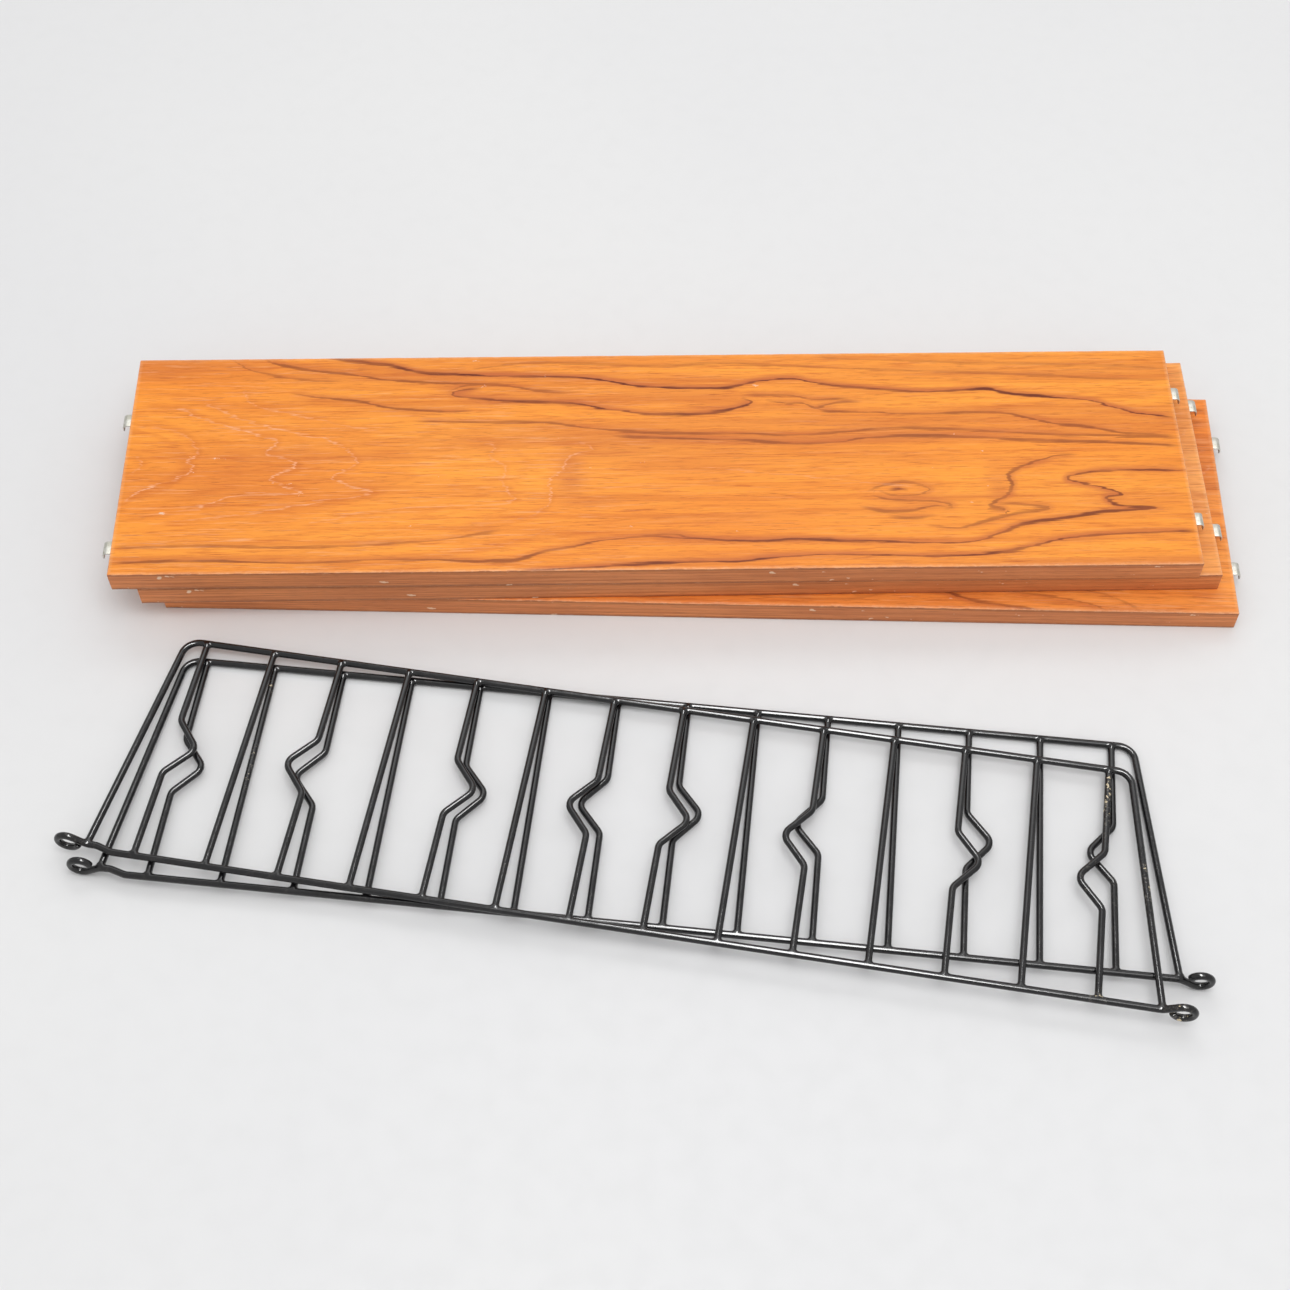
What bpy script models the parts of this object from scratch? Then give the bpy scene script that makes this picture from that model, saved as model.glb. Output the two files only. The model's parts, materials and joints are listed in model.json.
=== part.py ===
"""Ladder-type wall shelf, taken down and stacked: three boards and two wire side frames.

Metres, +Z up. X runs along the top board and +Y points to its rear edge. The origin is
at the bottom centre of the whole kit, on the surface that it lies on.
"""

import math

import bmesh
import bpy
from mathutils import Matrix, Vector

KIT = "ladder_wall_shelf_kit"

# Small air or glue gap left between pieces that touch.
GAP = 0.0003

# Shelf board: a veneered panel with a solid strip let in along each long edge.
BOARD_LENGTH = 0.783
BOARD_DEPTH = 0.2015
BOARD_THICKNESS = 0.018
VENEER = 0.0006
LIPPING = 0.004

# Hook clip: a bent steel strip whose tang is driven into a slot in the board's end.
CLIP_WIDTH = 0.011
CLIP_SHEET = 0.001
CLIP_BELOW_TOP = 0.0018
CLIP_TANG = 0.018
CLIP_LIP = 0.0025
CLIP_BEND = 0.0026
CLIP_CLEARANCE = 0.0007
CLIP_SPACING = 0.118
CLIP_STAGGER = 0.016

# Side frame: a wall wire with an eye at each end, a bent front wire and rungs between.
# Lengths along the frame are measured from the first rung, depths from the wall wire.
RUNG_COUNT = 14
RUNG_PITCH = 0.0498
RUNG_WIRE = 0.0049
MAIN_WIRE = 0.0051
FRAME_DEPTH = 0.1785
CORNER_OVERHANG = 0.015
CORNER_RADIUS = 0.012
LEFT_LEG_SPREAD = 0.0185
RIGHT_LEG_SPREAD = 0.0265
NOTCH_DEPTH = 0.0180
NOTCH_LENGTH = 0.0435
NOTCH_RADIUS = 0.008
EYE_RADIUS = 0.0071
EYE_REACH = 0.0134
EYE_SWEEP = 285.0
JOGGLE_OFFSET = 0.0034
JOGGLE_LENGTH = 0.011
JOGGLE_RADIUS = 0.008
LEG_TO_JOGGLE = 0.007
BEND_STEP = 15.0

# A rung is straight (0) or notched towards the frame's right (+1) or left (-1) end.
RUNG_PATTERN = (1, 0, -1, 0, 1, 0, -1, 1, 0, -1, 0, 1, 0, -1)

# How the pieces lie: turns are about +Z, in degrees.
MIDDLE_SHIFT = (0.0175, 0.0018)
MIDDLE_TURN = 0.2
BOTTOM_SHIFT = (0.0342, -0.0049)
BOTTOM_TURN = -2.0
FRAME_TO_BOARDS = 0.0388
FRAME_INSET = 0.0525
LOWER_TURN = -6.9
UPPER_SHIFT = (-0.0074, -0.0059)
UPPER_TURN = -3.2

# Sizes that follow from the ones above.
BOARD_STEP = BOARD_THICKNESS + GAP
CLIP_MOUTH = RUNG_WIRE + CLIP_CLEARANCE
CLIP_TOP = BOARD_THICKNESS - CLIP_BELOW_TOP
MAIN_RADIUS = MAIN_WIRE / 2
LAST_RUNG = (RUNG_COUNT - 1) * RUNG_PITCH
LEFT_CORNER = -CORNER_OVERHANG
RIGHT_CORNER = LAST_RUNG + CORNER_OVERHANG
LEFT_FOOT = LEFT_CORNER - LEFT_LEG_SPREAD
RIGHT_FOOT = RIGHT_CORNER + RIGHT_LEG_SPREAD
FRAME_TILT = math.atan(EYE_RADIUS / (FRAME_DEPTH - JOGGLE_OFFSET))


# ---------------------------------------------------------------- scene set-up

def clear_scene():
    for old in list(bpy.data.objects):
        bpy.data.objects.remove(old, do_unlink=True)


def make_material(name, colour, roughness, metallic=0.0):
    material = bpy.data.materials.new(name)
    material.use_nodes = True
    shader = material.node_tree.nodes["Principled BSDF"]
    shader.inputs["Base Color"].default_value = (*colour, 1.0)
    shader.inputs["Roughness"].default_value = roughness
    shader.inputs["Metallic"].default_value = metallic
    material.diffuse_color = (*colour, 1.0)
    return material


def make_empty(name, parent=None, location=(0, 0, 0), turn=0.0, tilt=0.0):
    """An empty turned about its own Z after being tilted about its own X."""
    empty = bpy.data.objects.new(name, None)
    parts.objects.link(empty)
    empty.parent = parent
    empty.location = location
    empty.rotation_euler = (tilt, 0, math.radians(turn))
    return empty


def add_part(name, data, parent, material, location=(0, 0, 0), turn=0.0):
    piece = bpy.data.objects.new(name, data)
    parts.objects.link(piece)
    piece.parent = parent
    piece.location = location
    piece.rotation_euler = (0, 0, math.radians(turn))
    if not data.materials:
        data.materials.append(material)
    return piece


# ---------------------------------------------------------------- mesh helpers

def box_mesh(name, low, high):
    """A box between two corners."""
    low = Vector(low)
    high = Vector(high)
    shape = bmesh.new()
    bmesh.ops.create_cube(shape, size=1.0)
    bmesh.ops.scale(shape, vec=high - low, verts=shape.verts)
    bmesh.ops.translate(shape, vec=(low + high) / 2, verts=shape.verts)
    mesh = bpy.data.meshes.new(name)
    shape.to_mesh(mesh)
    shape.free()
    return mesh


def cut_mesh(name, base, cutters):
    """The base mesh with every cutter mesh taken out of it."""
    target = bpy.data.objects.new(name, base)
    tools.objects.link(target)
    for number, cutter in enumerate(cutters):
        tool = bpy.data.objects.new(f"{name}_cutter_{number}", cutter)
        tool.hide_render = True
        tool.display_type = "WIRE"
        tools.objects.link(tool)
        cut = target.modifiers.new(f"cut_{number}", "BOOLEAN")
        cut.operation = "DIFFERENCE"
        cut.solver = "EXACT"
        cut.object = tool
    graph = bpy.context.evaluated_depsgraph_get()
    graph.update()
    result = bpy.data.meshes.new_from_object(target.evaluated_get(graph))
    result.name = name
    for used in list(tools.objects):
        bpy.data.objects.remove(used, do_unlink=True)
    return result


# ---------------------------------------------------------------- shelf boards

def clip_places():
    """Name, end (-1 left, +1 right) and depth of each clip along the board's end."""
    for side, end in (("left", -1), ("right", 1)):
        shift = -CLIP_STAGGER if end < 0 else 0.0
        yield f"{side}_front", end, shift - CLIP_SPACING / 2
        yield f"{side}_rear", end, shift + CLIP_SPACING / 2


def panel_mesh():
    """Core and face veneers, rebated for the lippings and slotted for the clips."""
    half_length = BOARD_LENGTH / 2
    half_depth = BOARD_DEPTH / 2
    over = 0.010
    body = box_mesh("panel_body", (-half_length, -half_depth, 0),
                    (half_length, half_depth, BOARD_THICKNESS))
    cutters = []
    for side in (-1, 1):
        inner = side * (half_depth - LIPPING - GAP)
        outer = side * (half_depth + over)
        cutters.append(box_mesh("rebate", (-half_length - over, min(inner, outer), VENEER),
                                (half_length + over, max(inner, outer), BOARD_THICKNESS - VENEER)))
    for _, end, depth in clip_places():
        inner = end * (half_length - CLIP_TANG - GAP)
        outer = end * (half_length + over)
        cutters.append(box_mesh("slot",
                                (min(inner, outer), depth - CLIP_WIDTH / 2 - GAP,
                                 CLIP_TOP - CLIP_SHEET - GAP),
                                (max(inner, outer), depth + CLIP_WIDTH / 2 + GAP, CLIP_TOP + GAP)))
    return cut_mesh("panel", body, cutters)


def lipping_mesh():
    """The strip glued along a long edge, between the two face veneers."""
    return box_mesh("lipping", (-BOARD_LENGTH / 2, -LIPPING / 2, VENEER + GAP),
                    (BOARD_LENGTH / 2, LIPPING / 2, BOARD_THICKNESS - VENEER - GAP))


def clip_mesh():
    """A strip that leaves the board's end along +X, bends down and ends in a lip."""
    middle = CLIP_SHEET / 2
    radius = CLIP_BEND + middle
    start = CLIP_MOUTH - CLIP_BEND
    line = [Vector((-CLIP_TANG, 0, -middle)), Vector((0, 0, -middle))]
    steps = round(90 / BEND_STEP)
    for step in range(steps + 1):
        angle = math.radians(90 * step / steps)
        line.append(Vector((start + radius * math.sin(angle), 0,
                            -middle - radius * (1 - math.cos(angle)))))
    line.append(line[-1] - Vector((0, 0, CLIP_LIP)))
    shape = bmesh.new()
    rows = []
    for point in line:
        rows.append([shape.verts.new(point + Vector((0, side * CLIP_WIDTH / 2, 0)))
                     for side in (-1, 1)])
    for near, far in zip(rows, rows[1:]):
        shape.faces.new((near[0], far[0], far[1], near[1]))
    sheet = bpy.data.meshes.new("clip_sheet")
    shape.to_mesh(sheet)
    shape.free()
    strip = bpy.data.objects.new("clip_strip", sheet)
    tools.objects.link(strip)
    thicken = strip.modifiers.new("thickness", "SOLIDIFY")
    thicken.thickness = CLIP_SHEET
    thicken.offset = 0
    thicken.use_even_offset = True
    graph = bpy.context.evaluated_depsgraph_get()
    graph.update()
    solid = bpy.data.meshes.new_from_object(strip.evaluated_get(graph))
    solid.name = "clip"
    bpy.data.objects.remove(strip, do_unlink=True)
    return solid


def build_board(name, parent, shapes):
    """One board with its lippings and four clips, under its own empty."""
    lip_at = (BOARD_DEPTH - LIPPING) / 2
    add_part(f"{name}_panel", shapes["panel"], parent, teak)
    add_part(f"{name}_front_lipping", shapes["lipping"], parent, teak_edge, (0, -lip_at, 0))
    add_part(f"{name}_rear_lipping", shapes["lipping"], parent, teak_edge, (0, lip_at, 0))
    for place, end, depth in clip_places():
        add_part(f"{name}_clip_{place}", shapes["clip"], parent, zinc,
                 (end * BOARD_LENGTH / 2, depth, CLIP_TOP), 0 if end > 0 else 180)


# ---------------------------------------------------------------- wire frames

def round_corners(corners, radius):
    """The path through the corners, with an arc in place of each inner corner."""
    path = [corners[0]]
    for before, corner, after in zip(corners, corners[1:], corners[2:]):
        arrive = (corner - before).normalized()
        leave = (after - corner).normalized()
        bend = arrive.angle(leave)
        reach = radius * math.tan(bend / 2)
        normal = (leave - arrive).normalized()
        centre = corner + normal * radius / math.cos(bend / 2)
        spoke = corner - arrive * reach - centre
        axis = arrive.cross(leave).normalized()
        steps = max(1, math.ceil(math.degrees(bend) / BEND_STEP))
        for step in range(steps + 1):
            path.append(centre + Matrix.Rotation(bend * step / steps, 3, axis) @ spoke)
    path.append(corners[-1])
    return path


def wire_curve(name, path, diameter):
    """A round wire along a path of points."""
    curve = bpy.data.curves.new(name, "CURVE")
    curve.dimensions = "3D"
    curve.bevel_depth = diameter / 2
    curve.bevel_resolution = 2
    curve.use_fill_caps = True
    spline = curve.splines.new("POLY")
    spline.points.add(len(path) - 1)
    for point, place in zip(spline.points, path):
        point.co = (*place, 1.0)
    spline.use_smooth = True
    return curve


def eye_path(centre, end, hand):
    """Points round an eye, from where the wire meets it to its cut end.

    The eye stands square to the frame, and its screw passes along the frame's depth.
    end is -1 at the left end and +1 at the right; hand says which way it curls.
    """
    meet = math.degrees(math.asin(EYE_RADIUS / EYE_REACH))
    steps = round(EYE_SWEEP / BEND_STEP)
    points = []
    for step in range(steps + 1):
        angle = math.radians(EYE_SWEEP * step / steps - meet)
        points.append(centre + Vector((end * EYE_RADIUS * math.sin(angle), 0,
                                       -hand * EYE_RADIUS * math.cos(angle))))
    return points


def wall_wire_path(hand):
    """The wire that lies against the wall, from the left eye to the right eye."""
    left_joint = Vector((LEFT_FOOT, JOGGLE_OFFSET, 0))
    right_joint = Vector((RIGHT_FOOT, 0, 0))
    joggle_start = left_joint + Vector((LEG_TO_JOGGLE, 0, 0))
    joggle_end = Vector((joggle_start.x + JOGGLE_LENGTH, 0, 0))
    left_eye = eye_path(left_joint - Vector((EYE_REACH, 0, 0)), -1, hand)
    right_eye = eye_path(right_joint + Vector((EYE_REACH, 0, 0)), 1, hand)
    corners = [left_eye[0], left_joint, joggle_start, joggle_end, right_joint, right_eye[0]]
    middle = round_corners(corners, JOGGLE_RADIUS)
    return left_eye[::-1] + middle[1:-1] + right_eye


def front_wire_path():
    """The wire along the front, bent round at both ends and down to the wall wire."""
    corners = [Vector((LEFT_FOOT, JOGGLE_OFFSET, 0)), Vector((LEFT_CORNER, FRAME_DEPTH, 0)),
               Vector((RIGHT_CORNER, FRAME_DEPTH, 0)), Vector((RIGHT_FOOT, 0, 0))]
    for foot, corner in ((0, 1), (3, 2)):
        along = (corners[corner] - corners[foot]).normalized()
        slant = abs(along.x)
        corners[foot] = corners[foot] + along * (MAIN_RADIUS + GAP + MAIN_RADIUS * slant)
    return round_corners(corners, CORNER_RADIUS)


def rung_path(notch):
    """A rung between the two main wires; notch is its direction, or 0 for a straight one."""
    start = MAIN_RADIUS + GAP
    end = FRAME_DEPTH - MAIN_RADIUS - GAP
    if notch == 0:
        return [Vector((0, start, 0)), Vector((0, end, 0))]
    middle = FRAME_DEPTH / 2
    corners = [Vector((0, start, 0)), Vector((0, middle - NOTCH_LENGTH / 2, 0)),
               Vector((notch * NOTCH_DEPTH, middle, 0)),
               Vector((0, middle + NOTCH_LENGTH / 2, 0)), Vector((0, end, 0))]
    return round_corners(corners, NOTCH_RADIUS)


def build_frame(name, parent, hand, front_wire, rungs):
    """One side frame, its first rung's foot at the parent empty."""
    wall_wire = wire_curve(f"{name}_wall_wire", wall_wire_path(hand), MAIN_WIRE)
    add_part(f"{name}_wall_wire", wall_wire, parent, coating)
    add_part(f"{name}_front_wire", front_wire, parent, coating)
    for number, notch in enumerate(RUNG_PATTERN):
        add_part(f"{name}_rung_{number + 1:02d}", rungs[notch], parent, coating,
                 (number * RUNG_PITCH, 0, 0))


# ---------------------------------------------------------------- laying out

def kit_corners(prefix=""):
    """Lowest and highest corners of the pieces whose names start with prefix."""
    bpy.context.view_layer.update()
    graph = bpy.context.evaluated_depsgraph_get()
    points = []
    for piece in parts.objects:
        if piece.type == "EMPTY" or not piece.name.startswith(prefix):
            continue
        shape = piece.evaluated_get(graph)
        mesh = shape.to_mesh()
        points += [shape.matrix_world @ vertex.co for vertex in mesh.vertices]
        shape.to_mesh_clear()
    low = Vector(min(point[axis] for point in points) for axis in range(3))
    high = Vector(max(point[axis] for point in points) for axis in range(3))
    return low, high


def place_lower_frame(empty):
    """Stand the frame's front left corner off the boards, then let it down to the floor."""
    corner = Vector((LEFT_CORNER, FRAME_DEPTH, 0))
    turned = empty.rotation_euler.to_matrix() @ corner
    empty.location = (FRAME_INSET - BOARD_LENGTH / 2 - turned.x,
                      -BOARD_DEPTH / 2 - FRAME_TO_BOARDS - turned.y, 0)
    low, _ = kit_corners("lower_frame")
    empty.location.z -= low.z


def place_upper_frame(empty):
    """Lay the frame on the lower one, turned and shifted about the frames' centres."""
    centre = Vector((LAST_RUNG / 2, FRAME_DEPTH / 2, 0))
    turned = empty.rotation_euler.to_matrix() @ centre
    shift = Vector((*UPPER_SHIFT, MAIN_WIRE + GAP))
    empty.location = centre + shift - turned


def centre_kit(root):
    """Put the kit's bottom centre at the origin."""
    low, high = kit_corners()
    root.location.x -= (low.x + high.x) / 2
    root.location.y -= (low.y + high.y) / 2
    bpy.context.view_layer.update()


clear_scene()
parts = bpy.data.collections.new(KIT)
bpy.context.scene.collection.children.link(parts)
tools = bpy.data.collections.new("cutters")
bpy.context.scene.collection.children.link(tools)

teak = make_material("teak_veneer", (0.71, 0.31, 0.09), 0.45)
teak_edge = make_material("teak_lipping", (0.42, 0.19, 0.09), 0.55)
zinc = make_material("zinc_plated_steel", (0.66, 0.66, 0.60), 0.35, 1.0)
coating = make_material("black_plastic_coating", (0.022, 0.022, 0.025), 0.38)

kit = make_empty(KIT + "_origin")

board_shapes = {
    "panel": panel_mesh(),
    "lipping": lipping_mesh(),
    "clip": clip_mesh(),
}
for board, shift, level, turn in (("bottom_board", BOTTOM_SHIFT, 0, BOTTOM_TURN),
                                  ("middle_board", MIDDLE_SHIFT, 1, MIDDLE_TURN),
                                  ("top_board", (0, 0), 2, 0)):
    board_place = make_empty(board, kit, (*shift, level * BOARD_STEP), turn)
    build_board(board, board_place, board_shapes)

front_shape = wire_curve("front_wire", front_wire_path(), MAIN_WIRE)
rung_shapes = {notch: wire_curve(f"rung_{notch}", rung_path(notch), RUNG_WIRE)
               for notch in (-1, 0, 1)}
lower = make_empty("lower_side_frame", kit, turn=LOWER_TURN, tilt=-FRAME_TILT)
build_frame("lower_frame", lower, 1, front_shape, rung_shapes)
place_lower_frame(lower)
upper = make_empty("upper_side_frame", lower, turn=UPPER_TURN)
build_frame("upper_frame", upper, -1, front_shape, rung_shapes)
place_upper_frame(upper)

centre_kit(kit)
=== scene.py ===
"""Looks for the ladder wall shelf kit: stacked teak boards and black wire side frames.

Everything is in metres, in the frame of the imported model. Each board and each side frame
gets one finished skin that stands for its CAD nodes, and each hook clip gets its own.
"""

import json
import math

import bmesh
import bpy
import numpy as np
from mathutils import Matrix, Vector, noise


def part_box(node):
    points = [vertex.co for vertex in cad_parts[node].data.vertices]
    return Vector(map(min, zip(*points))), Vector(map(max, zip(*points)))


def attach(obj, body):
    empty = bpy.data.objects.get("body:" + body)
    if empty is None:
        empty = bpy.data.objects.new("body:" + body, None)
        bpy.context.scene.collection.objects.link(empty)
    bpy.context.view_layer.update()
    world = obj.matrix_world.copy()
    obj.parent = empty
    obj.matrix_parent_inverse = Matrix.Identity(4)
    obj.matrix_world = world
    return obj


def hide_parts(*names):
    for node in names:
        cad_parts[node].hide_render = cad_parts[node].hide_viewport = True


MM = 0.001
BOARDS = ("top_board", "middle_board", "bottom_board")
CLIPS = ("left_front", "left_rear", "right_front", "right_rear")

# Board skin.
ARRIS = 0.6 * MM
GRID = 2.5 * MM
NICK = 0.16 * MM
SLOT_DEPTH = 8 * MM
SLOT_ROOM = 0.3 * MM
WORN_WIDTH = 0.8 * MM

# Hook clip.
CLIP_SHEET = 1.0 * MM
CLIP_BEND = 2.6 * MM
CLIP_MOUTH = 5.6 * MM
CLIP_LIP = 2.5 * MM
CLIP_EASE = 0.22 * MM

# Side frame, measured from its first rung and its wall wire.
RUNG_PITCH = 49.8 * MM
RUNG_WIRE = 4.9 * MM
MAIN_WIRE = 5.1 * MM
FRAME_DEPTH = 178.5 * MM
LEFT_CORNER = -15 * MM
RIGHT_CORNER = 662.4 * MM
LEFT_FOOT = -33.5 * MM
RIGHT_FOOT = 688.9 * MM
CORNER_RADIUS = 12 * MM
NOTCH_DEPTH = 18 * MM
NOTCH_LENGTH = 43.5 * MM
NOTCH_RADIUS = 8 * MM
EYE_RADIUS = 7.1 * MM
EYE_REACH = 13.4 * MM
EYE_SWEEP = 285.0
JOGGLE_OFFSET = 3.4 * MM
JOGGLE_LENGTH = 11 * MM
JOGGLE_RADIUS = 8 * MM
LEG_TO_JOGGLE = 7 * MM
BEND_STEP = 7.5
RUNG_PATTERN = (1, 0, -1, 0, 1, 0, -1, 1, 0, -1, 0, 1, 0, -1)
COAT_VOXEL = 0.75 * MM
COAT_SWELL = 0.05 * MM
WELD_SIZE = (3.2 * MM, 1.9 * MM, 2.7 * MM)
WELD_REACH = 2.0 * MM

# Camera: lens in mm, place from the top board's middle and the floor in metres, turns in degrees.
CAMERA_LENS = 59.28
CAMERA_ALONG = -0.0142
CAMERA_ACROSS = -0.9796
CAMERA_HEIGHT = 1.2891
CAMERA_HEADING = -0.398
CAMERA_PITCH = 33.42
CAMERA_ROLL = -0.26

# Where the coating is chipped or scuffed: along, across, half sizes in mm, and how much.
CHIP_SPOTS = {
    "lower_frame": ((50, 95, 8, 24, 0.75), (50, 160, 8, 12, 0.7), (300, 90, 40, 40, 0.3),
                    (648, 60, 8, 60, 0.4)),
    "upper_frame": ((647, 150, 8, 30, 0.9), (640, 90, 14, 20, 0.6), (647, 4, 10, 8, 0.9),
                    (676, 90, 10, 30, 0.75), (700, 0, 10, 12, 0.8), (-45, 0, 12, 10, 0.45)),
}

# Dark veins of the veneer: darkness, then points along and across the board, in mm.
VEINS = (
    (1.0, ((-250, 101), (-225, 97), (-200, 93), (-180, 86), (-160, 84), (-100, 81),
           (-50, 78), (-20, 72), (0, 69), (40, 67), (60, 68), (80, 74), (105, 76),
           (130, 70), (190, 63), (220, 62), (250, 64), (270, 59), (325, 52),
           (345, 45), (365, 38), (392, 34))),
    (0.6, ((-297, 101), (-285, 95), (-260, 89), (-230, 84), (-200, 78), (-160, 75),
           (-115, 73))),
    (0.5, ((-155, 66), (-144, 72), (-130, 73), (-112, 72), (-90, 67), (-60, 64))),
    (0.9, ((-128, 69), (-144, 68), (-152, 64), (-140, 60), (-100, 56), (-60, 54),
           (-40, 49), (-15, 44), (0, 42), (22, 42), (48, 44), (64, 48), (74, 53),
           (66, 59))),
    (0.55, ((66, 60), (85, 60), (105, 59), (122, 55), (150, 56))),
    (0.45, ((84, 54), (100, 52), (112, 52), (122, 47), (138, 52), (158, 53))),
    (0.4, ((-322, 101), (-310, 92), (-290, 84), (-262, 79), (-235, 77))),
    (0.6, ((-275, 66), (-250, 61), (-220, 57), (-200, 51), (-170, 48), (-135, 47))),
    (0.5, ((-180, 38), (-130, 36), (-80, 35), (-50, 30), (-30, 27), (20, 24), (60, 23),
           (100, 21), (130, 23), (165, 26), (220, 25), (290, 20), (350, 17), (392, 15))),
    (0.6, ((-30, 22), (0, 20), (40, 18), (70, 16), (110, 13), (140, 15), (165, 18),
           (200, 19), (240, 17), (270, 14), (320, 12), (392, 7))),
    (0.55, ((122, 47), (132, 43), (160, 42), (200, 40), (250, 41), (275, 37), (300, 30),
            (322, 27), (350, 20), (392, 16))),
    (0.65, ((-392, -90), (-330, -89), (-250, -92), (-200, -90), (-160, -90), (-110, -92),
            (-95, -90), (-80, -84), (-60, -80), (-40, -75), (0, -71), (15, -70),
            (30, -74), (45, -75))),
    (0.85, ((-10, -71), (40, -75), (80, -76), (100, -75), (125, -76), (180, -79),
            (222, -80), (238, -76), (250, -71), (268, -63), (300, -58), (330, -53),
            (366, -50), (340, -47), (332, -44), (330, -40), (342, -38), (325, -30),
            (303, -23), (318, -17), (340, -15), (392, -16))),
    (0.9, ((-100, -102), (-60, -99), (0, -95), (60, -94), (80, -91), (130, -89),
           (180, -91), (215, -91), (250, -88), (280, -81), (300, -76), (330, -73),
           (392, -71))),
    (0.6, ((315, 0), (298, 0), (290, -3), (270, -11), (260, -18), (262, -26), (258, -36),
           (244, -46), (254, -50), (242, -51))),
    (0.45, ((248, -45), (262, -45), (287, -49), (262, -54), (238, -61), (218, -66),
            (195, -63))),
    (0.4, ((155, -33), (166, -28), (182, -24), (198, -28), (200, -32), (190, -36),
           (175, -36), (162, -31))),
    (0.55, ((157, -36), (170, -40), (190, -41), (205, -42), (216, -46), (208, -51))),
    (0.5, ((148, -47), (168, -51), (188, -50), (204, -46), (218, -49))),
    (0.5, ((168, -56), (190, -57), (204, -54))),
    (1.0, ((170, -32), (178, -31), (186, -32))),
    (0.3, ((-140, 88), (-90, 94), (0, 90), (60, 91), (160, 85), (240, 80), (300, 76),
           (392, 70))),
    (0.25, ((120, 97), (220, 91), (320, 87), (392, 82))),
    (0.4, ((-392, -77), (-320, -76), (-260, -78), (-200, -76), (-160, -73), (-110, -65))),
)

# Pale dusty growth lines towards the left end, in the same form.
PALE_LINES = (
    (0.8, ((-386, 8), (-378, 0), (-386, -11))),
    (1.0, ((-392, 35), (-370, 34), (-350, 27), (-340, 15), (-338, 8), (-346, 2), (-340, -4),
           (-350, -14), (-368, -21), (-381, -29), (-390, -39))),
    (1.0, ((-388, 53), (-355, 52), (-342, 44), (-322, 36), (-296, 26), (-280, 20), (-288, 8),
           (-270, 2), (-264, -5), (-282, -14), (-272, -22), (-262, -28), (-310, -31),
           (-330, -40), (-392, -52))),
    (0.8, ((-340, 60), (-328, 51), (-298, 37), (-262, 26), (-238, 18), (-225, 8),
           (-220, -2), (-236, -14), (-226, -22), (-206, -29), (-240, -36), (-300, -48),
           (-360, -54))),
    (0.6, ((-310, 72), (-300, 55), (-250, 40), (-228, 33), (-200, 27))),
    (0.55, ((-140, 19), (-118, 15), (-122, 2), (-110, -6), (-112, -20), (-106, -30),
            (-106, -39), (-150, -42), (-200, -45), (-260, -58))),
    (0.7, ((-56, 18), (-46, 10), (-62, 3), (-68, -10), (-78, -20), (-76, -36), (-84, -48),
           (-105, -56), (-150, -62))),
    (0.5, ((-70, -60), (-90, -70), (-120, -80), (-160, -82))),
    (0.35, ((30, -8), (80, -14), (140, -22), (200, -30))),
    (0.4, ((-392, -73), (-300, -71), (-220, -73))),
)

# Broad brown patches: strength, place along and across the board, half sizes, in mm.
PATCHES = (
    (0.9, -62, -14, 12, 22),
    (0.6, -40, 6, 30, 5),
    (0.7, -50, -40, 26, 5),
    (0.45, -90, -66, 40, 6),
    (0.5, -10, 62, 130, 8),
    (0.5, 60, 50, 40, 8),
    (0.4, 130, 54, 60, 7),
    (0.35, 60, 96, 260, 6),
    (0.5, 20, -8, 60, 8),
    (0.75, 252, -26, 9, 22),
    (0.6, 278, -6, 20, 4),
    (0.7, 308, -24, 14, 5),
    (0.55, 332, -40, 16, 10),
    (0.5, 350, -52, 24, 4),
    (0.6, 90, -76, 24, 4),
    (0.6, 26, -75, 16, 4),
    (0.6, 300, -76, 24, 4),
    (0.7, -150, 68, 14, 6),
    (0.6, -120, 56, 24, 5),
    (0.6, 128, 48, 12, 7),
    (0.6, -190, 88, 12, 4),
    (0.4, -330, -8, 26, 10),
    (0.5, -370, 84, 14, 5),
    (0.35, -200, 45, 90, 8),
    (0.4, 190, -44, 36, 12),
    (0.35, 280, 45, 70, 6),
    (0.45, -300, -8, 90, 55),
)

# Fields of the drawn lines, in mm. Lines of one layer keep LAYER_ROOM apart, so that their
# fields never meet. A line fades out over its last FADE_STEPS points.
LAYER_ROOM = 15.0
LINE_STEP = 2.0
LINE_REACH = 12.0
FIELD_LIMIT = 8.0
FADE_STEPS = 6
CHUNK = 2000


def srgb(red, green, blue):
    """A linear colour from 0 to 255 screen values."""
    out = []
    for value in (red, green, blue):
        share = value / 255
        out.append(share / 12.92 if share <= 0.04045 else ((share + 0.055) / 1.055) ** 2.4)
    return (*out, 1.0)


# ---------------------------------------------------------------- places of CAD nodes

def middle(node):
    """The middle of a CAD node's box."""
    low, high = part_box(node)
    return (low + high) / 2


def board_place(board):
    """Turns board coordinates, from the middle of its underside, into the row frame."""
    front = middle(f"{board}_front_lipping")
    rear = middle(f"{board}_rear_lipping")
    across = (rear - front).normalized()
    along = across.cross(Vector((0, 0, 1)))
    centre = (front + rear) / 2
    low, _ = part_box(f"{board}_panel")
    place = Matrix((along, across, Vector((0, 0, 1)))).transposed().to_4x4()
    place.translation = Vector((centre.x, centre.y, low.z))
    return place


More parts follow.
